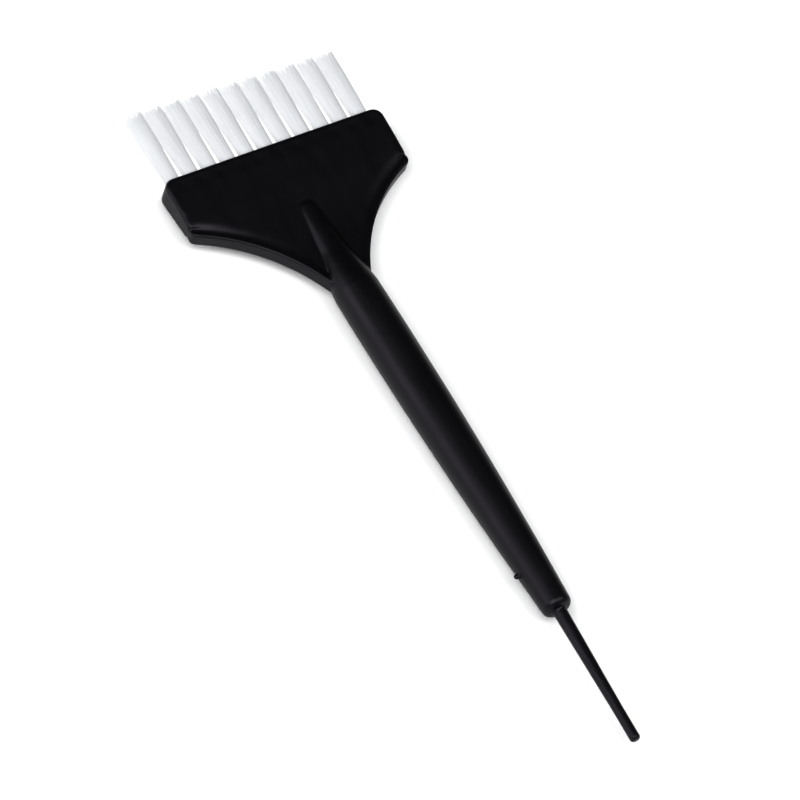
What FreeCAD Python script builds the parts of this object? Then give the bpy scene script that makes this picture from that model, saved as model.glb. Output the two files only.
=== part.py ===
import FreeCAD, Part
import os
import re
import Sketcher

# A wide hair tint brush lying flat: one moulded handle and a single row of nylon tufts.
# X runs across the head, Y along the brush towards the bristle tips, and Z is up.
# The origin is on the surface below the middle of the brush. All sizes are in millimetres.
# A "depth" is measured from the face that holds the bristles, towards the tail.

DIMENSIONS = [
    # overall
    ("total_length", 217),
    ("axis_height", 6.25),
    # head block that holds the bristles
    ("head_width", 64.6),
    ("face_half_thickness", 3.8),
    ("break_depth", 13),
    ("break_half_thickness", 2.9),
    ("block_side_depth", 14.5),
    ("block_corner_radius", 2.8),
    ("block_edge_radius", 1.15),
    ("hollow_radius", 300),
    # web and rim that follow the two hollow lower edges of the head
    ("side_depth", 17.2),
    ("side_corner_radius", 2),
    ("waist_half_width", 5.8),
    ("waist_depth", 43.5),
    ("waist_half_thickness", 1.6),
    ("waist_radius", 52),
    ("web_half_thickness", 1.55),
    ("rim_width", 1.6),
    ("rim_half_thickness", 2.05),
    ("rim_edge_radius", 0.45),
    ("groove_width", 1.5),
    # grip, whose thin upper end runs onto the head as a ridge
    ("ridge_depth", 18),
    ("ridge_radius", 3.1),
    ("ridge_round", 2.2),
    ("shoulder_start_depth", 35),
    ("shoulder_start_radius", 4.25),
    ("shoulder_end_depth", 47),
    ("shoulder_end_radius", 6.1),
    ("shoulder_arc_radius", 90),
    ("belly_depth", 66),
    ("belly_radius", 6.25),
    ("grip_end_depth", 152.6),
    ("grip_end_radius", 4.05),
    ("grip_end_round", 1.8),
    # tail
    ("tail_root_depth", 151),
    ("tail_root_radius", 1.85),
    ("tail_tip_radius", 1.37),
    ("tail_tip_length", 10),
    ("tail_tip_round", 0.75),
    ("tail_droop", 3.4),
    # gate mark that the mould leaves on the side of the grip
    ("gate_depth", 139.5),
    ("gate_radius", 0.65),
    ("gate_reach", 5.8),
    # tufts
    ("tuft_count", 11),
    ("tuft_pitch", 5.6),
    ("hole_radius", 2.1),
    ("hole_depth", 8),
    ("bristle_length", 22.7),
    ("trim_slope", 0.03),
    ("fit_clearance", 0.02),
    ("tuft_neck_radius", 2.3),
    ("tuft_neck_length", 1),
    ("tuft_tip_radius", 2.7),
    ("tuft_tip_round", 0.8),
    # flat wire anchors that pin the folded tufts in their holes
    ("anchor_length", 5),
    ("anchor_width", 1.8),
    ("anchor_thickness", 0.4),
    ("anchor_depth", 5.3),
]

# distance of the outermost tufts from the middle of the head
OUTER_COLUMN = "(tuft_pitch * (tuft_count - 1) / 2)"
# Y of the face that holds the bristles. The slanting trim leaves the outermost tuft on -X longest.
FACE_Y = f"(total_length / 2 - bristle_length - trim_slope * {OUTER_COLUMN})"

# Where the rounding of the head's lower corners starts on the side and ends on the hollow edge. The
# factors are those of a round tangent to both, at the 115 degrees between them.
CORNER_TOP = "-(side_depth - 0.64 * side_corner_radius)"
CORNER_SIDE = "(head_width / 2 - 0.58 * side_corner_radius)"
CORNER_LOW = "-(side_depth + 0.27 * side_corner_radius)"

# A cut that removes less than this many cubic millimetres has missed the solid.
NO_CUT = 0.1

doc = FreeCAD.newDocument("tint_brush")


# ---------------------------------------------------------------- dimensions


def make_sheet():
    """Write the driving dimensions into a spreadsheet, one alias per row."""
    sheet = doc.addObject("Spreadsheet::Sheet", "dims")
    for row, (alias, value) in enumerate(DIMENSIONS, start=1):
        sheet.set(f"A{row}", alias)
        sheet.set(f"B{row}", str(value))
        sheet.setAlias(f"B{row}", alias)
    doc.recompute()
    return sheet


dims = make_sheet()
ALIASES = {alias for alias, _ in DIMENSIONS}


def size(expression):
    """The present value of an expression of the spreadsheet's aliases."""
    return float(dims.evalExpression(expression))


def cells(expression):
    """The same expression as another object of the document has to write it."""
    return re.sub(r"[a-z_]+", lambda word: f"dims.{word[0]}" if word[0] in ALIASES else word[0], expression)


# ------------------------------------------------------------------ sketches


def new_sketch(body, name, role):
    """An empty sketch on one of the body's own origin planes."""
    sketch = body.newObject("Sketcher::SketchObject", name)
    plane = next(item for item in body.Origin.OriginFeatures if item.Role == role)
    sketch.AttachmentSupport = [(plane, "")]
    sketch.MapMode = "FlatFace"
    return sketch


def bind(sketch, constraint, expression):
    """Add a dimension to the sketch and bind it to the spreadsheet."""
    index = sketch.addConstraint(constraint)
    sketch.setExpression(f"Constraints[{index}]", cells(expression))


def pin_point(sketch, geometry, end, across, along):
    """Fix a point of the sketch at two expressions, measured from the sketch's origin."""
    for kind, axis, expression in (("DistanceX", -2, across), ("DistanceY", -1, along)):
        value = size(expression)
        if value == 0:
            sketch.addConstraint(Sketcher.Constraint("PointOnObject", geometry, end, axis))
        elif value > 0:
            bind(sketch, Sketcher.Constraint(kind, -1, 1, geometry, end, value), expression)
        else:
            negated = f"-({expression})"
            bind(sketch, Sketcher.Constraint(kind, geometry, end, -1, 1, -value), negated)


def arc_edge(start, end, radius):
    """The short arc from start to end that bulges to the left of the way it is drawn."""
    chord = end - start
    half = chord.Length / 2
    sagitta = radius - (radius * radius - half * half) ** 0.5
    left = FreeCAD.Vector(-chord.y, chord.x, 0) / chord.Length
    return Part.Arc(start, (start + end) / 2 + left * sagitta, end)


def ends_of_arc(sketch, geometry, start):
    """Which stored end of an arc is its start and which its end, as the outline is drawn."""
    if (sketch.getPoint(geometry, 1) - start).Length < (sketch.getPoint(geometry, 2) - start).Length:
        return 1, 2
    return 2, 1


def add_outline(sketch, corners, arcs=None):
    """Draw a closed outline whose corners are expressions.

    corners holds (across, along) pairs. arcs gives a radius for each edge that is an arc, by the
    number of the corner where it starts. A radius that starts with "-" bulges to the right.
    """
    arcs = arcs or {}
    first = sketch.GeometryCount
    count = len(corners)
    places = [FreeCAD.Vector(size(across), size(along), 0) for across, along in corners]
    ends = []
    for index, start in enumerate(places):
        end = places[(index + 1) % count]
        if index not in arcs:
            sketch.addGeometry(Part.LineSegment(start, end), False)
            ends.append((1, 2))
        elif arcs[index].startswith("-"):
            sketch.addGeometry(arc_edge(end, start, size(arcs[index][1:])), False)
            ends.append(ends_of_arc(sketch, first + index, start))
        else:
            sketch.addGeometry(arc_edge(start, end, size(arcs[index])), False)
            ends.append(ends_of_arc(sketch, first + index, start))
    for index, (across, along) in enumerate(corners):
        before = (index - 1) % count
        sketch.addConstraint(
            Sketcher.Constraint("Coincident", first + before, ends[before][1], first + index, ends[index][0])
        )
        pin_point(sketch, first + index, ends[index][0], across, along)
        if index in arcs:
            radius = arcs[index].lstrip("-")
            bind(sketch, Sketcher.Constraint("Radius", first + index, size(radius)), radius)


def add_circle(sketch, across, along, radius):
    centre = FreeCAD.Vector(size(across), size(along), 0)
    geometry = sketch.addGeometry(Part.Circle(centre, FreeCAD.Vector(0, 0, 1), size(radius)), False)
    pin_point(sketch, geometry, 3, across, along)
    bind(sketch, Sketcher.Constraint("Radius", geometry, size(radius)), radius)


def add_rectangle(sketch, left, right, low, high):
    add_outline(sketch, [(left, low), (right, low), (right, high), (left, high)])


# ------------------------------------------------------------------ features


def feature(body, kind, name, sketch, **settings):
    """A PartDesign feature made from a sketch. A text setting is bound as an expression."""
    made = body.newObject(f"PartDesign::{kind}", name)
    made.Profile = sketch
    for setting, value in settings.items():
        if isinstance(value, str) and setting in ("Length", "Angle"):
            made.setExpression(setting, cells(value))
        else:
            setattr(made, setting, value)
    doc.recompute()
    return made


def revolve(body, name, sketch):
    """Turn a half outline round the sketch's vertical axis."""
    return feature(body, "Revolution", name, sketch, ReferenceAxis=(sketch, ["V_Axis"]), Angle=360)


def fillet(body, name, radius, picked):
    """Round the edges of the body's last feature that the test picks."""
    base = body.Tip
    edges = [f"Edge{index}" for index, edge in enumerate(base.Shape.Edges, start=1) if picked(edge)]
    made = body.newObject("PartDesign::Fillet", name)
    made.Base = (base, edges)
    made.setExpression("Radius", cells(radius))
    doc.recompute()
    return made


def cut(body, name, sketch, **settings):
    """A Pocket that stops the script if it removes nothing."""
    before = body.Shape.Volume
    made = feature(body, "Pocket", name, sketch, **settings)
    if body.Shape.Volume > before - NO_CUT:
        raise RuntimeError(f"{name} cuts nothing")
    return made


def repeat_along_head(body, name, originals, sketch):
    """Repeat cuts along the head at the tuft pitch."""
    made = body.newObject("PartDesign::LinearPattern", name)
    made.Originals = originals
    made.Direction = (sketch, ["H_Axis"])
    made.setExpression("Length", cells("tuft_pitch * (tuft_count - 1)"))
    made.setExpression("Occurrences", cells("tuft_count"))
    body.Tip = made
    doc.recompute()
    return made


def new_body(name):
    body = doc.addObject("PartDesign::Body", name)
    body.Label = name
    return body


def place(item, across="0", along="0", up="0"):
    """Place a sub-part relative to the centre of the face that holds the bristles."""
    item.setExpression("Placement.Base.x", cells(across))
    item.setExpression("Placement.Base.y", cells(f"{FACE_Y} + ({along})"))
    item.setExpression("Placement.Base.z", cells(f"axis_height + ({up})"))


# -------------------------------------------------------------------- handle


def make_head_block(handle):
    """The thick wedge that holds the tufts, thinning towards the grip."""
    profile = new_sketch(handle, "block_profile", "YZ_Plane")
    add_outline(
        profile,
        [
            ("0", "face_half_thickness"),
            ("-break_depth", "break_half_thickness"),
            ("-waist_depth", "waist_half_thickness"),
            ("-waist_depth", "-waist_half_thickness"),
            ("-break_depth", "-break_half_thickness"),
            ("0", "-face_half_thickness"),
        ],
        {1: "hollow_radius", 3: "hollow_radius"},
    )
    feature(handle, "Pad", "block", profile, Length="head_width", Midplane=True)

    # the hollow lower edges leave room for a groove and the rim
    waist = new_sketch(handle, "block_waist", "XY_Plane")
    margin = "(rim_width + groove_width)"
    for side, arc_sign in (("", "-"), ("-", "")):
        add_outline(
            waist,
            [
                (f"{side}(head_width / 2)", "-block_side_depth"),
                (f"{side}(waist_half_width - 0.9 * {margin})", f"-(waist_depth - 0.4 * {margin})"),
                (f"{side}(waist_half_width - 0.9 * {margin})", "-(waist_depth + 1)"),
                (f"{side}(head_width / 2 + 1)", "-(waist_depth + 1)"),
                (f"{side}(head_width / 2 + 1)", "-block_side_depth"),
            ],
            {0: f"{arc_sign}(waist_radius + {margin})"},
        )
    cut(handle, "block_waist_cut", waist, Type="ThroughAll", Midplane=True)

    half_width = size("head_width / 2")
    fillet(
        handle,
        "block_corners",
        "block_corner_radius",
        lambda edge: is_along_z(edge) and abs(abs(edge.CenterOfMass.x) - half_width) < 0.01
        and abs(edge.CenterOfMass.y) < 0.01,
    )
    thick = size("break_half_thickness")
    fillet(
        handle,
        "block_edges",
        "block_edge_radius",
        lambda edge: abs(edge.CenterOfMass.z) > 0.8 * thick and not is_along_z(edge)
        and is_on_block_side(edge, half_width),
    )


def is_along_z(edge):
    box = edge.BoundBox
    return box.ZLength > 0.1 and box.XLength < 0.01 and box.YLength < 0.01


def is_on_block_side(edge, half_width):
    """True for the long edges of the block's sides, corners and bristle face."""
    corner = size("block_corner_radius")
    middle = edge.CenterOfMass
    on_side = abs(middle.x) > half_width - corner
    on_face = middle.y > -0.01
    return on_side or on_face


def make_web_and_rim(handle):
    """The thin web below the block, with a rim round each hollow lower edge."""
    web = new_sketch(handle, "web_outline", "XY_Plane")
    add_outline(
        web,
        [
            ("head_width / 2", "-block_corner_radius"),
            ("head_width / 2", CORNER_TOP),
            (CORNER_SIDE, CORNER_LOW),
            ("waist_half_width", "-waist_depth"),
            ("-waist_half_width", "-waist_depth"),
            (f"-{CORNER_SIDE}", CORNER_LOW),
            ("-head_width / 2", CORNER_TOP),
            ("-head_width / 2", "-block_corner_radius"),
        ],
        {1: "side_corner_radius", 2: "-waist_radius", 4: "-waist_radius", 5: "side_corner_radius"},
    )
    feature(handle, "Pad", "web", web, Length="2 * web_half_thickness", Midplane=True)

    rim = new_sketch(handle, "rim_outline", "XY_Plane")
    for side, outer_sign, inner_sign in (("", "-", ""), ("-", "", "-")):
        add_outline(
            rim,
            [
                (f"{side}(head_width / 2)", CORNER_TOP),
                (f"{side}{CORNER_SIDE}", CORNER_LOW),
                (f"{side}waist_half_width", "-waist_depth"),
                (f"{side}(waist_half_width - 0.9 * rim_width)", "-(waist_depth - 0.4 * rim_width)"),
                (f"{side}(head_width / 2)", "-(side_depth - 1.1 * rim_width)"),
            ],
            {
                0: f"{inner_sign}side_corner_radius",
                1: f"{outer_sign}waist_radius",
                3: f"{inner_sign}(waist_radius + rim_width)",
            },
        )
    feature(handle, "Pad", "rim", rim, Length="2 * rim_half_thickness", Midplane=True)
    top = size("rim_half_thickness")
    fillet(
        handle,
        "rim_edges",
        "rim_edge_radius",
        lambda edge: abs(abs(edge.CenterOfMass.z) - top) < 0.01 and edge.Length > 20,
    )


def make_grip(handle):
    """The turned grip: ridge, shoulder, belly and rounded end."""
    outline = new_sketch(handle, "grip_outline", "XY_Plane")
    shoulder_step = "(belly_radius - shoulder_end_radius)"
    shoulder_run = "(belly_depth - shoulder_end_depth)"
    end_step = "(belly_radius - grip_end_radius)"
    end_run = "(grip_end_depth - grip_end_round - belly_depth)"
    add_outline(
        outline,
        [
            ("0", "-ridge_depth"),
            ("ridge_radius - ridge_round", "-ridge_depth"),
            ("ridge_radius", "-(ridge_depth + ridge_round)"),
            ("shoulder_start_radius", "-shoulder_start_depth"),
            ("shoulder_end_radius", "-shoulder_end_depth"),
            ("belly_radius", "-belly_depth"),
            ("grip_end_radius", "-(grip_end_depth - grip_end_round)"),
            ("grip_end_radius - grip_end_round", "-grip_end_depth"),
            ("0", "-grip_end_depth"),
        ],
        {
            1: "ridge_round",
            3: "shoulder_arc_radius",
            4: f"(({shoulder_run} ^ 2 + {shoulder_step} ^ 2) / (2 * {shoulder_step}))",
            5: f"(({end_run} ^ 2 + {end_step} ^ 2) / (2 * {end_step}))",
            6: "grip_end_round",
        },
    )
    revolve(handle, "grip", outline)


def make_tail(handle):
    """The thin tail, turned round its own line, which droops a little from the grip's."""
    outline = new_sketch(handle, "tail_outline", "XY_Plane")
    droop = size("tail_droop")
    tilt = FreeCAD.Rotation(FreeCAD.Vector(1, 0, 0), droop)
    outline.AttachmentOffset = FreeCAD.Placement(FreeCAD.Vector(0, -size("tail_root_depth"), 0), tilt)
    outline.setExpression("AttachmentOffset.Base.y", cells("-tail_root_depth"))
    outline.setExpression("AttachmentOffset.Rotation.Angle", cells("tail_droop"))
    run = f"(total_length / 2 + {FACE_Y} - tail_root_depth)"
    end_flat = "((tail_tip_radius - tail_tip_round) * sin(tail_droop * 1deg))"
    reach = f"(({run} - tail_tip_round - {end_flat}) / cos(tail_droop * 1deg) + tail_tip_round)"
    add_outline(
        outline,
        [
            ("0", "0"),
            ("tail_root_radius", "0"),
            ("tail_tip_radius", f"-({reach} - tail_tip_length)"),
            ("tail_tip_radius", f"-({reach} - tail_tip_round)"),
            ("tail_tip_radius - tail_tip_round", f"-{reach}"),
            ("0", f"-{reach}"),
        ],
        {3: "tail_tip_round"},
    )
    revolve(handle, "tail", outline)


def make_gate_mark(handle):
    """The stub left where the plastic entered the mould."""
    outline = new_sketch(handle, "gate_outline", "YZ_Plane")
    add_circle(outline, "-gate_depth", "0", "gate_radius")
    feature(handle, "Pad", "gate_mark", outline, Length="gate_reach", Reversed=True)


def drill_holes(handle):
    """The row of blind tuft holes, with the slits that the anchors' ends cut in their walls."""
    across = f"(-{OUTER_COLUMN})"
    hole_sketch = new_sketch(handle, "hole_outline", "XZ_Plane")
    add_circle(hole_sketch, across, "0", "hole_radius")
    hole = cut(handle, "hole", hole_sketch, Length="hole_depth", Reversed=True)
    slit_sketch = new_sketch(handle, "slit_outline", "XZ_Plane")
    add_rectangle(
        slit_sketch,
        f"{across} - anchor_length / 2",
        f"{across} + anchor_length / 2",
        "-(anchor_thickness / 2)",
        "anchor_thickness / 2",
    )
    slit = cut(handle, "slit", slit_sketch, Length="anchor_depth + anchor_width", Reversed=True)
    repeat_along_head(handle, "holes", [hole, slit], hole_sketch)


def make_handle():
    handle = new_body("handle")
    make_head_block(handle)
    make_web_and_rim(handle)
    make_grip(handle)
    make_tail(handle)
    make_gate_mark(handle)
    solid_volume = handle.Shape.Volume
    drill_holes(handle)
    drilled = solid_volume - handle.Shape.Volume
    expected = size("tuft_count * hole_radius ^ 2 * hole_depth * pi")
    if drilled < 0.9 * expected:
        raise RuntimeError(f"the tuft holes removed {drilled:.1f} mm3 of {expected:.1f} mm3")
    place(handle)
    return handle


# ---------------------------------------------------------- tufts and anchors


def column_place(column):
    """An expression for the middle of a tuft's hole, across the head."""
    return f"(({column} - (tuft_count - 1) / 2) * tuft_pitch)"


def make_tuft(column):
    """A folded bundle of bristles: the stub in its hole and the brush end, which widens."""
    across = column_place(column)
    tuft = new_body(f"tuft_{column + 1:02d}")
    outline = new_sketch(tuft, f"{tuft.Name}_outline", "XY_Plane")
    tip = f"(bristle_length - trim_slope * {across})"
    add_outline(
        outline,
        [
            ("0", "-(hole_depth - fit_clearance)"),
            ("hole_radius - fit_clearance", "-(hole_depth - fit_clearance)"),
            ("hole_radius - fit_clearance", "0"),
            ("tuft_neck_radius", "tuft_neck_length"),
            ("tuft_tip_radius", f"{tip} - tuft_tip_round"),
            ("tuft_tip_radius - tuft_tip_round", tip),
            ("0", tip),
        ],
        {4: "-tuft_tip_round"},
    )
    revolve(tuft, f"{tuft.Name}_bundle", outline)
    slot = new_sketch(tuft, f"{tuft.Name}_slot", "YZ_Plane")
    add_rectangle(
        slot,
        "-(anchor_depth + anchor_width)",
        "-anchor_depth",
        "-(anchor_thickness / 2)",
        "anchor_thickness / 2",
    )
    cut(tuft, f"{tuft.Name}_fold", slot, Type="ThroughAll", Midplane=True)
    place(tuft, across)
    return tuft


def make_anchor(column):
    """A short flat wire across the fold of the bristles, with its ends in the hole's wall."""
    across = column_place(column)
    anchor = doc.addObject("Part::Box", f"anchor_{column + 1:02d}")
    anchor.Label = anchor.Name
    anchor.setExpression("Length", cells("anchor_length - 2 * fit_clearance"))
    anchor.setExpression("Width", cells("anchor_width - 2 * fit_clearance"))
    anchor.setExpression("Height", cells("anchor_thickness - 2 * fit_clearance"))
    place(
        anchor,
        f"{across} - anchor_length / 2 + fit_clearance",
        "-(anchor_depth + anchor_width) + fit_clearance",
        "-(anchor_thickness / 2) + fit_clearance",
    )
    return anchor


# ---------------------------------------------------------------------- build


def check(parts):
    """Stop if an object of the document failed, a sub-part isn't one valid solid or the length is wrong."""
    doc.recompute()
    failed = [item.Name for item in doc.Objects if {"Invalid", "Error"} & set(item.State)]
    if failed:
        raise RuntimeError(f"these objects failed: {failed}")
    for item in parts:
        shape = item.Shape
        if shape.isNull() or not shape.isValid() or len(shape.Solids) != 1:
            raise RuntimeError(f"{item.Label} isn't one valid solid")
    boxes = [item.Shape.optimalBoundingBox(False) for item in parts]
    length = max(box.YMax for box in boxes) - min(box.YMin for box in boxes)
    if abs(length - size("total_length")) > 0.01:
        raise RuntimeError(f"the brush is {length:.3f} mm long")


def main():
    parts = [make_handle()]
    for column in range(int(size("tuft_count"))):
        parts.append(make_tuft(column))
        parts.append(make_anchor(column))
    check(parts)
    os.makedirs("parts", exist_ok=True)
    for item in parts:
        item.Shape.exportStep(f"parts/{item.Label}.step")
        print(f"{item.Label}: {item.Shape.Volume:.2f} mm3")


main()
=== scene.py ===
import math

import bpy
import numpy as np
from mathutils import Matrix, Vector


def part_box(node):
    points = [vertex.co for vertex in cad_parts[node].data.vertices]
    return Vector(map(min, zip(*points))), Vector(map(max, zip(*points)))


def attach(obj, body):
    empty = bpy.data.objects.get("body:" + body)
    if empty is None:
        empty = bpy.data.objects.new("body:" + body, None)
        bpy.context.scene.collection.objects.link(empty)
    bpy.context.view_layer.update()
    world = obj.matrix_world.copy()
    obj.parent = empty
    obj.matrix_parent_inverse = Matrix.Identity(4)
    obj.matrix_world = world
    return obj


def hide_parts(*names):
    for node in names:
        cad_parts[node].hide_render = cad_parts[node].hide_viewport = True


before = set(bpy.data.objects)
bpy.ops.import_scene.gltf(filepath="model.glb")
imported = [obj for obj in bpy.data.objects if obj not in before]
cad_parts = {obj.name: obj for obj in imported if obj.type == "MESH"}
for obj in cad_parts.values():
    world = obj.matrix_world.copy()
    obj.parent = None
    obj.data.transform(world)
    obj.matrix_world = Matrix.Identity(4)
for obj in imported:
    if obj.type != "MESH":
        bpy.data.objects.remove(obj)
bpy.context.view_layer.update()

# A wide hair tint brush that lies on a pale table. The frame is in metres: X runs across the head,
# Y along the brush towards the bristle tips, and Z is up.

MM = 0.001
HANDLE_LOW, HANDLE_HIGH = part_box("handle")
FACE_Y = HANDLE_HIGH.y
AXIS_Z = (HANDLE_LOW.z + HANDLE_HIGH.z) / 2
COLUMNS = range(1, 1 + sum(name.startswith("tuft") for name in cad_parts))

# handle mesh: its fineness, and rounds and shares of its smoothing
VOXEL = 0.37 * MM
CURVE_CUTS = 5
HANDLE_SMOOTHING = 8
RIM_SMOOTHING = 24
SHOULDER_SMOOTHING = 28
SMOOTHING_IN = 0.5
SMOOTHING_OUT = 0.53
SOFTENING = 0.6

# sink marks over the tuft holes, on faces at least SINK_MIN_HEIGHT from the middle plane
SINK_DEPTH = 0.15 * MM
SINK_WIDTH = 1.5 * MM
SINK_MIN_HEIGHT = 2.6 * MM

# boxes that fill the anchors' slits
PLUG_MARGIN = Vector((0.1, 0.3, 0.15)) * MM
PLUG_OVERLAP = 0.02 * MM
PLUG_BELOW_FACE = 0.1 * MM

SEAM_HALF_WIDTH = 0.12 * MM

# lower edge of the head, from the waist out to the side: distance from the middle and depth
# below FACE_Y
WAIST = (5.8 * MM, 43.5 * MM)
SIDE = (32.3 * MM, 17.2 * MM)
HOLLOW_RADIUS = 52 * MM

# filaments: where they stand, inside the CAD tuft's radius in its hole
HOLE_RADIUS = 2.08 * MM
ROOT_DEPTH = 2.5 * MM
FILAMENT_RADIUS = 0.1 * MM
FILAMENT_SPACING = 0.215 * MM
FILAMENT_SIDES = 6
FILAMENT_RINGS = 9
TAPER_STARTS = 0.6
TAPER_LOSS = 0.75

# filaments: how they fan out across the head and in Z, and how far they end below the trim
SPREAD = (0.6, -0.1)
SPREAD_SCATTER = 0.05
PLACE_SCATTER = 0.008 * MM
LEAN = (0.2 * MM, 0.1 * MM)
SWAY = 0.1 * MM
TRIM_GAP = 0.15 * MM
SHORT_BY = 1.2 * MM
SHORT_AT_MOST = 4.5 * MM
OPENING_STARTS = 0.1
TUFT_LIMIT = (2.78 * MM, 2.6 * MM)
LIMIT_SHARPNESS = 8

# shading normals of filaments: the share of their own roundness, and the lift of the bundle's
OWN_NORMAL = 0.28
BUNDLE_CROWN = 0.42
TIP_CROWN = 1.0


# ---------------------------------------------------------------- mesh helpers


def mesh_from_arrays(name, points, faces):
    """A mesh from an array of points and an array of faces that all have the same number of corners."""
    mesh = bpy.data.meshes.new(name)
    corners = faces.shape[1]
    mesh.vertices.add(len(points))
    mesh.vertices.foreach_set("co", np.ascontiguousarray(points, np.float32).ravel())
    mesh.loops.add(faces.size)
    mesh.loops.foreach_set("vertex_index", np.ascontiguousarray(faces, np.int32).ravel())
    mesh.polygons.add(len(faces))
    mesh.polygons.foreach_set("loop_start", np.arange(0, faces.size, corners, dtype=np.int32))
    mesh.update(calc_edges=True)
    return mesh


def add_object(name, mesh):
    thing = bpy.data.objects.new(name, mesh)
    bpy.context.scene.collection.objects.link(thing)
    return thing


def points_of(mesh):
    points = np.empty(len(mesh.vertices) * 3, np.float32)
    mesh.vertices.foreach_get("co", points)
    return points.reshape(-1, 3).astype(float)


def set_points(mesh, points):
    mesh.vertices.foreach_set("co", points.astype(np.float32).ravel())
    mesh.update()


def normals_of(mesh):
    normals = np.empty(len(mesh.vertices) * 3, np.float32)
    mesh.vertex_normals.foreach_get("vector", normals)
    return normals.reshape(-1, 3).astype(float)


def shade_smooth(mesh):
    mesh.polygons.foreach_set("use_smooth", np.ones(len(mesh.polygons), bool))
    mesh.update()


def baked(thing):
    """Put the result of an object's modifiers into its mesh."""
    evaluated = thing.evaluated_get(bpy.context.evaluated_depsgraph_get())
    mesh = bpy.data.meshes.new_from_object(evaluated)
    thing.modifiers.clear()
    thing.data = mesh
    return thing


def edges_of(mesh):
    """The points at the two ends of every edge, and the number of edges at each point."""
    edges = np.empty(len(mesh.edges) * 2, np.int32)
    mesh.edges.foreach_get("vertices", edges)
    one, other = edges.reshape(-1, 2).T
    return one, other, np.bincount(edges, minlength=len(mesh.vertices))


def neighbour_mean(values, one, other, count):
    """For each point, the mean of a value over the points it shares an edge with."""
    total = np.bincount(one, values[other], len(values))
    total += np.bincount(other, values[one], len(values))
    return total / count


def smooth_evenly(mesh, rounds):
    """Taubin smoothing: it takes off ripples and sharp corners, and doesn't shrink the shape."""
    edges = edges_of(mesh)
    points = points_of(mesh)
    for step in range(2 * rounds):
        share = -SMOOTHING_OUT if step % 2 else SMOOTHING_IN
        mean = np.stack([neighbour_mean(points[:, axis], *edges) for axis in range(3)], axis=1)
        points += share * (mean - points)
    set_points(mesh, points)


def soften(mesh, share, rounds, axes):
    """Move each point towards the middle of its neighbours, by its share, along the given axes."""
    edges = edges_of(mesh)
    points = points_of(mesh)
    for _ in range(rounds):
        for axis in axes:
            mean = neighbour_mean(points[:, axis], *edges)
            points[:, axis] += SOFTENING * share * (mean - points[:, axis])
    set_points(mesh, points)


def hollow_edge(count=60):
    """Points of the arc that the head's hollow lower edge follows, from the waist to the side."""
    start, end = np.array(WAIST), np.array(SIDE)
    chord = end - start
    half = np.hypot(*chord) / 2
    normal = np.array([-chord[1], chord[0]]) / (2 * half)
    rise = math.sqrt(HOLLOW_RADIUS ** 2 - half ** 2)
    centre = (start + end) / 2 + normal * rise
    first = math.atan2(*(start - centre)[::-1])
    last = math.atan2(*(end - centre)[::-1])
    turn = np.linspace(first, last, count)
    return centre[0] + HOLLOW_RADIUS * np.cos(turn), centre[1] + HOLLOW_RADIUS * np.sin(turn)


def gaussian(distance, width):
    return np.exp(-((distance / width) ** 2))


def smooth_step(value, low, high):
    share = np.clip((value - low) / (high - low), 0, 1)
    return share * share * (3 - 2 * share)


# ------------------------------------------------------------------ node tools


def new_material(name):
    material = bpy.data.materials.new(name)
    material.use_nodes = True
    tree = material.node_tree
    return material, tree, tree.nodes["Principled BSDF"]


def add_node(tree, kind, **settings):
    made = tree.nodes.new(kind)
    for name, value in settings.items():
        setattr(made, name, value)
    return made


def place_of(tree):
    """Coordinates in metres, the same in every view."""
    return add_node(tree, "ShaderNodeNewGeometry").outputs["Position"]


def noise(tree, size, detail=2.0, stretch=(1, 1, 1), roughness=0.5):
    """Noise whose features are about size metres across, longer along an axis with a small stretch."""
    scaled = add_node(tree, "ShaderNodeVectorMath", operation="MULTIPLY")
    tree.links.new(place_of(tree), scaled.inputs[0])
    scaled.inputs[1].default_value = [part / size for part in stretch]
    made = add_node(tree, "ShaderNodeTexNoise")
    made.inputs["Scale"].default_value = 1
    made.inputs["Detail"].default_value = detail
    made.inputs["Roughness"].default_value = roughness
    tree.links.new(scaled.outputs[0], made.inputs["Vector"])
    return made.outputs["Fac"]


def to_range(tree, value, low, high, start=0.3, end=0.7):
    """Spread the middle of a noise over low to high."""
    made = add_node(tree, "ShaderNodeMapRange")
    made.inputs["From Min"].default_value = start
    made.inputs["From Max"].default_value = end
    made.inputs["To Min"].default_value = low
    made.inputs["To Max"].default_value = high
    tree.links.new(value, made.inputs["Value"])
    return made.outputs["Result"]


def blend_colours(tree, share, first, second):
    """The first colour where share is 0, and the second where it is 1."""
    made = add_node(tree, "ShaderNodeMix", data_type="RGBA")
    made.inputs["A"].default_value = (*first, 1)
    made.inputs["B"].default_value = (*second, 1)
    tree.links.new(share, made.inputs["Factor"])
    return made.outputs["Result"]


def bump(tree, height, depth, before=None):
    """Raise the surface by depth metres where height is 1."""
    made = add_node(tree, "ShaderNodeBump")
    made.inputs["Strength"].default_value = 1
    made.inputs["Distance"].default_value = depth
    tree.links.new(height, made.inputs["Height"])
    if before is not None:
        tree.links.new(before, made.inputs["Normal"])
    return made.outputs["Normal"]


# ------------------------------------------------------------------- materials


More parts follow.
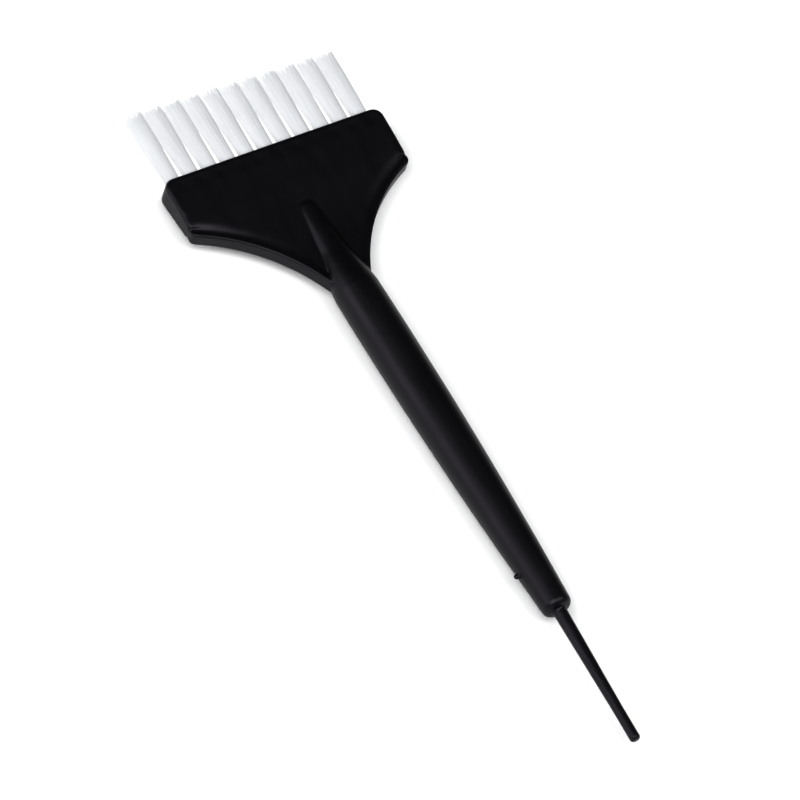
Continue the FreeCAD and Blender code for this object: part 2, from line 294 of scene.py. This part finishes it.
def satin_black_plastic():
    """Black moulded plastic: satin, with a fine grain, faint flow marks and a seam round its middle."""
    material, tree, shader = new_material("satin_black_plastic")
    clouds = to_range(tree, noise(tree, 9 * MM, 3), 0, 1)
    colour = blend_colours(tree, clouds, (0.0022, 0.002, 0.003), (0.0032, 0.003, 0.0042))
    tree.links.new(colour, shader.inputs["Base Color"])
    flow = to_range(tree, noise(tree, 3 * MM, 4, stretch=(1, 0.2, 1)), 0.37, 0.45)
    tree.links.new(flow, shader.inputs["Roughness"])
    shader.inputs["IOR"].default_value = 1.49
    shader.inputs["Specular IOR Level"].default_value = 0.42
    shader.inputs["Specular Tint"].default_value = (0.95, 0.89, 1, 1)
    grain = bump(tree, noise(tree, 0.16 * MM, 2), 0.0022 * MM)
    ripple = bump(tree, noise(tree, 4 * MM, 2), 0.02 * MM, grain)
    tree.links.new(bump(tree, seam(tree), 0.03 * MM, ripple), shader.inputs["Normal"])
    return material


def seam(tree):
    """1 on the mould's parting line, which is the middle plane of the handle, and 0 away from it."""
    apart = add_node(tree, "ShaderNodeSeparateXYZ")
    tree.links.new(place_of(tree), apart.inputs[0])
    off = add_node(tree, "ShaderNodeMath", operation="SUBTRACT")
    tree.links.new(apart.outputs["Z"], off.inputs[0])
    off.inputs[1].default_value = AXIS_Z
    distance = add_node(tree, "ShaderNodeMath", operation="ABSOLUTE")
    tree.links.new(off.outputs[0], distance.inputs[0])
    return to_range(tree, distance.outputs[0], 1, 0, 0, SEAM_HALF_WIDTH)


def white_nylon():
    """White filament, slightly cooler and duller in some bristles than in others."""
    material, tree, shader = new_material("white_nylon")
    strand = to_range(tree, noise(tree, 0.3 * MM, 1, stretch=(1, 0.01, 1)), 0, 1)
    colour = blend_colours(tree, strand, (0.485, 0.49, 0.5), (0.535, 0.54, 0.55))
    tree.links.new(colour, shader.inputs["Base Color"])
    gloss = to_range(tree, noise(tree, 1.5 * MM, 2), 0.35, 0.5)
    tree.links.new(gloss, shader.inputs["Roughness"])
    shader.inputs["IOR"].default_value = 1.53
    shader.inputs["Specular IOR Level"].default_value = 0.2
    return material


def drawn_wire():
    """Bright drawn metal with fine lines along it."""
    material, tree, shader = new_material("drawn_wire")
    lines = noise(tree, 0.05 * MM, 2, stretch=(0.05, 1, 1))
    tone = to_range(tree, lines, 0, 1)
    colour = blend_colours(tree, tone, (0.62, 0.61, 0.58), (0.78, 0.77, 0.74))
    tree.links.new(colour, shader.inputs["Base Color"])
    shader.inputs["Metallic"].default_value = 1
    tree.links.new(to_range(tree, lines, 0.22, 0.38), shader.inputs["Roughness"])
    tree.links.new(bump(tree, lines, 0.004 * MM), shader.inputs["Normal"])
    return material


def pale_table():
    """Matt white laminate with a very faint tone."""
    material, tree, shader = new_material("pale_table")
    tone = to_range(tree, noise(tree, 60 * MM, 3), 0, 1)
    colour = blend_colours(tree, tone, (0.90, 0.90, 0.90), (0.92, 0.92, 0.92))
    tree.links.new(colour, shader.inputs["Base Color"])
    shader.inputs["Roughness"].default_value = 0.8
    shader.inputs["Specular IOR Level"].default_value = 0.1
    return material


# ---------------------------------------------------------------------- handle


def curved_triangles(mesh, cuts):
    """Cut the mesh's triangles smaller and bulge them to the curve that their corner normals describe."""
    mesh.calc_loop_triangles()
    count = len(mesh.loop_triangles)
    loops = np.empty(count * 3, np.int32)
    mesh.loop_triangles.foreach_get("loops", loops)
    corner_points = np.empty(count * 3, np.int32)
    mesh.loop_triangles.foreach_get("vertices", corner_points)
    normals = np.empty(len(mesh.loops) * 3, np.float32)
    mesh.corner_normals.foreach_get("vector", normals)
    corners = points_of(mesh)[corner_points].reshape(-1, 3, 3)
    normals = normals.reshape(-1, 3)[loops].reshape(-1, 3, 3)

    grid = [(row, column) for row in range(cuts + 1) for column in range(row + 1)]
    number = {place: index for index, place in enumerate(grid)}
    weights = np.array([(cuts - row, row - column, column) for row, column in grid]) / cuts
    flat = np.einsum("mi,tij->tmj", weights, corners)
    lift = np.einsum("tmij,tij->tmi", flat[:, :, None, :] - corners[:, None], normals)
    curved = flat - 0.5 * np.einsum("mi,tmi,tij->tmj", weights, lift, normals)
    small = []
    for row in range(cuts):
        for column in range(row + 1):
            small.append([number[row, column], number[row + 1, column], number[row + 1, column + 1]])
            if column < row:
                small.append([number[row, column], number[row + 1, column + 1], number[row, column + 1]])
    faces = np.arange(count)[:, None, None] * len(grid) + np.array(small)[None]
    return curved.reshape(-1, 3), faces.reshape(-1, 3)


def slit_plugs():
    """Boxes that fill the slits beside the tuft holes, which the anchors' ends fill on a real brush."""
    points = []
    for column in COLUMNS:
        low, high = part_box(f"anchor_{column:02d}")
        middle = (low + high) / 2
        half = (high - low) / 2 + PLUG_MARGIN
        inner = HOLE_RADIUS - PLUG_OVERLAP
        for side in (-1, 1):
            for x in (inner, half.x):
                for y in (-half.y, FACE_Y - middle.y - PLUG_BELOW_FACE):
                    for z in (-half.z, half.z):
                        points.append((middle.x + side * x, middle.y + y, middle.z + z))
    points = np.array(points)
    box = np.array([[0, 1, 3], [0, 3, 2], [4, 6, 7], [4, 7, 5], [0, 4, 5], [0, 5, 1],
                    [2, 3, 7], [2, 7, 6], [0, 2, 6], [0, 6, 4], [1, 5, 7], [1, 7, 3]])
    faces = (np.arange(len(points) // 8)[:, None, None] * 8 + box[None]).reshape(-1, 3)
    return points, faces


def outward(points, faces):
    """Turn each box's faces to look out of it."""
    centres = points.reshape(-1, 8, 3).mean(1)[faces[:, 0] // 8]
    first, second, third = (points[faces[:, corner]] for corner in range(3))
    normals = np.cross(second - first, third - first)
    inward = np.einsum("fj,fj->f", normals, first - centres) < 0
    faces[inward] = faces[inward][:, ::-1]
    return faces


def make_handle():
    """The one-piece moulding, as an even mesh with rounded edges, sink marks and a slight unevenness."""
    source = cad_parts["handle"].data
    points, faces = curved_triangles(source, CURVE_CUTS)
    target = add_object("handle_target", mesh_from_arrays("handle_target", points, faces))
    plug_points, plug_faces = slit_plugs()
    plug_faces = outward(plug_points, plug_faces)
    both = np.vstack([points, plug_points])
    handle = add_object("handle_moulding", mesh_from_arrays(
        "handle_moulding", both, np.vstack([faces, plug_faces + len(points)])))

    remesh = handle.modifiers.new("remesh", "REMESH")
    remesh.mode = "VOXEL"
    remesh.voxel_size = VOXEL
    wrap = handle.modifiers.new("wrap", "SHRINKWRAP")
    wrap.target = target
    wrap.wrap_method = "NEAREST_SURFACEPOINT"
    baked(handle)
    bpy.data.objects.remove(target)

    mesh = handle.data
    smooth_evenly(mesh, HANDLE_SMOOTHING)
    soften_steps(mesh)
    add_sink_marks(mesh)
    shade_smooth(mesh)
    mesh.materials.clear()
    mesh.materials.append(satin_black_plastic())
    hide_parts("handle")
    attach(handle, "root")


def soften_steps(mesh):
    """Round the steps along the head's hollow edges and run the ridge smoothly into the shoulder."""
    points = points_of(mesh)
    depth = FACE_Y - points[:, 1]
    across = np.abs(points[:, 0])
    height = np.abs(points[:, 2] - AXIS_Z)
    # the band along the hollow edge, between the crest of the rim and the flat face
    inside = np.interp(across, *hollow_edge()) - depth
    share = smooth_step(inside, 0.8 * MM, 1.3 * MM) * (1 - smooth_step(inside, 5.5 * MM, 8 * MM))
    share *= smooth_step(height, 1.2 * MM, 1.5 * MM) * smooth_step(across, 5.5 * MM, 7.5 * MM)
    # near the sides only the height changes, so that the outline stays
    inner = share * (1 - smooth_step(across, SIDE[0] - 2.6 * MM, SIDE[0] - 1.4 * MM))
    soften(mesh, inner, RIM_SMOOTHING, (0, 1, 2))
    soften(mesh, share - inner, RIM_SMOOTHING, (2,))
    # the place where the ridge meets the shoulder
    share = smooth_step(depth, 28 * MM, 33 * MM) * (1 - smooth_step(depth, 40 * MM, 46 * MM))
    share *= smooth_step(height, 1.9 * MM, 2.3 * MM) * (1 - smooth_step(across, 7 * MM, 8 * MM))
    soften(mesh, share, SHOULDER_SMOOTHING, (0, 2))


def add_sink_marks(mesh):
    """Shallow flutes in the head's flat faces, where the plastic over each tuft hole has shrunk."""
    points = points_of(mesh)
    normals = normals_of(mesh)
    depth = FACE_Y - points[:, 1]
    along = smooth_step(depth, 0.4 * MM, 1.4 * MM) * (1 - smooth_step(depth, 2.5 * MM, 5.5 * MM))
    for side in (1, -1):
        facing = smooth_step(side * normals[:, 2], 0.8, 0.97)
        outer = side * (points[:, 2] - AXIS_Z) > SINK_MIN_HEIGHT
        for column in COLUMNS:
            low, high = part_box(f"tuft_{column:02d}")
            across = gaussian(points[:, 0] - (low.x + high.x) / 2, SINK_WIDTH)
            points[:, 2] -= side * SINK_DEPTH * along * across * facing * outer
    set_points(mesh, points)


# -------------------------------------------------------------------- bristles


def hexagonal_places(radius, spacing):
    """Points of a hexagonal packing inside a circle."""
    places = []
    reach = int(radius / spacing) + 2
    for row in range(-reach, reach + 1):
        for column in range(-reach, reach + 1):
            place = ((column + 0.5 * (row % 2)) * spacing, row * spacing * math.sqrt(3) / 2)
            if math.hypot(*place) <= radius:
                places.append(place)
    return np.array(places)


def kept_within(offset, limit):
    """The offset, pressed together just short of the limit, where the next tuft begins."""
    return offset / (1 + np.abs(offset / limit) ** LIMIT_SHARPNESS) ** (1 / LIMIT_SHARPNESS)


def filament_paths(low, high, random):
    """Centre lines of a tuft's filaments: an array of filament, ring and coordinate."""
    middle = (low + high) / 2
    root = hexagonal_places(HOLE_RADIUS - FILAMENT_RADIUS, FILAMENT_SPACING)
    count = len(root)
    root = root + random.normal(0, PLACE_SCATTER, root.shape)
    share = np.linspace(0, 1, FILAMENT_RINGS)
    start_y = FACE_Y - ROOT_DEPTH
    # most filaments end a little short of the trim
    short = np.minimum(random.exponential(SHORT_BY, count), SHORT_AT_MOST)
    length = high.y - start_y - TRIM_GAP - short
    spread = np.array(SPREAD) + random.normal(0, SPREAD_SCATTER, (count, 2))
    lean = random.normal(0, LEAN, (count, 2))
    sway = random.normal(0, SWAY, (count, 2))
    # the filaments stand straight in the hole and fan out evenly beyond it
    opening = np.maximum(share - OPENING_STARTS, 0) / (1 - OPENING_STARTS)
    paths = np.empty((count, FILAMENT_RINGS, 3))
    for axis, column in ((0, 0), (2, 1)):
        fan = root[:, column, None] * (1 + spread[:, column, None] * opening)
        bend = sway[:, column, None] * np.sin(math.pi * share) * share
        offset = fan + lean[:, column, None] * opening + bend
        paths[:, :, axis] = middle[axis] + kept_within(offset, TUFT_LIMIT[column])
    paths[:, :, 1] = start_y + length[:, None] * share
    return paths


def tube_mesh(name, paths, random):
    """Thin closed tubes along paths that all run nearly along Y, tapering at their tips."""
    count, rings, _ = paths.shape
    share = np.linspace(0, 1, rings)
    taper = 1 - TAPER_LOSS * smooth_step(share, TAPER_STARTS, 1)
    width = FILAMENT_RADIUS * taper[None] * random.uniform(0.9, 1.05, (count, 1))
    turn = random.uniform(0, math.tau, (count, 1, 1))
    angle = turn + np.arange(FILAMENT_SIDES)[None, None] * math.tau / FILAMENT_SIDES
    points = np.repeat(paths[:, :, None], FILAMENT_SIDES, axis=2)
    points[..., 0] += width[:, :, None] * np.cos(angle)
    points[..., 2] += width[:, :, None] * np.sin(angle)
    stride = rings * FILAMENT_SIDES
    ring = np.arange(rings - 1)[:, None] * FILAMENT_SIDES
    side = np.arange(FILAMENT_SIDES)[None]
    after = (side + 1) % FILAMENT_SIDES
    quads = np.stack([ring + side, ring + side + FILAMENT_SIDES, ring + after + FILAMENT_SIDES,
                      ring + after], axis=-1).reshape(-1, 4)
    quads = (np.arange(count)[:, None, None] * stride + quads[None]).reshape(-1, 4)
    mesh = bpy.data.meshes.new(name)
    caps = []
    for filament in range(count):
        first = filament * stride
        last = first + stride - FILAMENT_SIDES
        caps.append([first + index for index in range(FILAMENT_SIDES)])
        caps.append([last + index for index in reversed(range(FILAMENT_SIDES))])
    mesh.from_pydata(points.reshape(-1, 3).tolist(), [], quads.tolist() + caps)
    mesh.update()
    shade_smooth(mesh)
    bundle_normals(mesh, paths, points)
    return mesh


def bundle_normals(mesh, paths, points):
    """Shade the filaments mostly as the round bundle that they make up, as translucent nylon looks."""
    own = points - paths[:, :, None]
    own[..., 1] = 0
    own /= np.linalg.norm(own, axis=-1, keepdims=True)
    middle = paths.mean(0)[None, :, None]
    bundle = points - middle
    bundle[..., 1] = 0
    bundle /= np.abs(bundle[..., [0, 2]]).max((0, 2, 3))[None, :, None, None]
    rise = BUNDLE_CROWN + TIP_CROWN * np.linspace(0, 1, paths.shape[1])
    bundle[..., 2] += rise[None, :, None]
    bundle /= np.linalg.norm(bundle, axis=-1, keepdims=True)
    normals = OWN_NORMAL * own + (1 - OWN_NORMAL) * bundle
    normals /= np.linalg.norm(normals, axis=-1, keepdims=True)
    mesh.normals_split_custom_set_from_vertices(normals.reshape(-1, 3).tolist())


def make_tuft(column, nylon):
    """One tuft's filaments, which stand in its hole and fan out towards their tips."""
    node = f"tuft_{column:02d}"
    random = np.random.default_rng(column)
    paths = filament_paths(*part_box(node), random)
    tuft = add_object(f"bristles_{column:02d}", tube_mesh(node, paths, random))
    tuft.data.materials.append(nylon)
    # translucent filaments pass on the light that falls on them
    tuft.visible_shadow = False
    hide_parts(node)
    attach(tuft, "root")


# --------------------------------------------------------------------- anchors


def finish_anchors():
    """The anchors keep their CAD shape and get their metal."""
    wire = drawn_wire()
    for column in COLUMNS:
        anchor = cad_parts[f"anchor_{column:02d}"]
        anchor.data.materials.clear()
        anchor.data.materials.append(wire)


# ----------------------------------------------------------------------- stage


DISPLAY_GAMMA = 0.7
WORLD_STRENGTH = 0.08
LIGHT_DISTANCE = 5
CAMERA_AZIMUTH = math.radians(-45)
CAMERA_ELEVATION = math.radians(53.03)
CAMERA_ROLL = math.radians(19)
CAMERA_LENS = 1200
CAMERA_DISTANCE = 5.64 * MM * CAMERA_LENS
CAMERA_AIM = Vector((-6.3 * MM, FACE_Y - 80.57 * MM, AXIS_Z))


def direction(azimuth, elevation):
    """The direction from the object towards azimuth, where 0 is -Y and 90 is +X, and elevation."""
    flat = math.cos(elevation)
    return Vector((math.sin(azimuth) * flat, -math.cos(azimuth) * flat, math.sin(elevation)))


def add_camera():
    back = direction(CAMERA_AZIMUTH, CAMERA_ELEVATION)
    camera = bpy.data.objects.new("camera", bpy.data.cameras.new("camera"))
    bpy.context.scene.collection.objects.link(camera)
    camera.data.lens = CAMERA_LENS
    camera.location = CAMERA_AIM + back * CAMERA_DISTANCE
    upright = (-back).to_track_quat("-Z", "Y").to_matrix()
    camera.rotation_euler = (upright @ Matrix.Rotation(CAMERA_ROLL, 3, "Z")).to_euler()
    bpy.context.scene.camera = camera


def add_softbox(name, azimuth, elevation, side, power):
    """A large square light that faces the object: angles in degrees, side in metres, power in watts."""
    light = bpy.data.lights.new(name, "AREA")
    light.shape = "RECTANGLE"
    light.size = light.size_y = side
    light.energy = power
    lamp = bpy.data.objects.new(name, light)
    bpy.context.scene.collection.objects.link(lamp)
    towards = direction(math.radians(azimuth), math.radians(elevation))
    lamp.location = towards * LIGHT_DISTANCE
    lamp.rotation_euler = towards.to_track_quat("Z", "Y").to_euler()
    lamp.visible_camera = False


def add_table():
    """A flat pale disc, far wider than the view."""
    rings = [0.3, 1, 3, 7, 14]
    sides = 64
    points = [(0, 0, 0)]
    for radius in rings:
        for index in range(sides):
            turn = math.tau * index / sides
            points.append((radius * math.cos(turn), radius * math.sin(turn), 0))
    faces = [(0, 1 + index, 1 + (index + 1) % sides) for index in range(sides)]
    for ring in range(len(rings) - 1):
        first = 1 + ring * sides
        for index in range(sides):
            after = (index + 1) % sides
            faces.append((first + index, first + sides + index, first + sides + after, first + after))
    mesh = bpy.data.meshes.new("table")
    mesh.from_pydata(points, [], faces)
    table = add_object("table", mesh)
    mesh.materials.append(pale_table())


def add_surroundings():
    world = bpy.data.worlds.new("studio")
    world.use_nodes = True
    world.node_tree.nodes["Background"].inputs["Color"].default_value = (0.9, 0.95, 1, 1)
    world.node_tree.nodes["Background"].inputs["Strength"].default_value = WORLD_STRENGTH
    bpy.context.scene.world = world
    bpy.context.scene.view_settings.view_transform = "Standard"
    # the contrast of a product photograph
    bpy.context.scene.view_settings.gamma = DISPLAY_GAMMA


add_camera()
add_table()
add_surroundings()
add_softbox("front_light", -65, 52, 4, 300)
add_softbox("fill_light", 35, 60, 4, 190)
add_softbox("left_light", -116, 20, 3, 88)
make_handle()
nylon = white_nylon()
for column in COLUMNS:
    make_tuft(column, nylon)
finish_anchors()
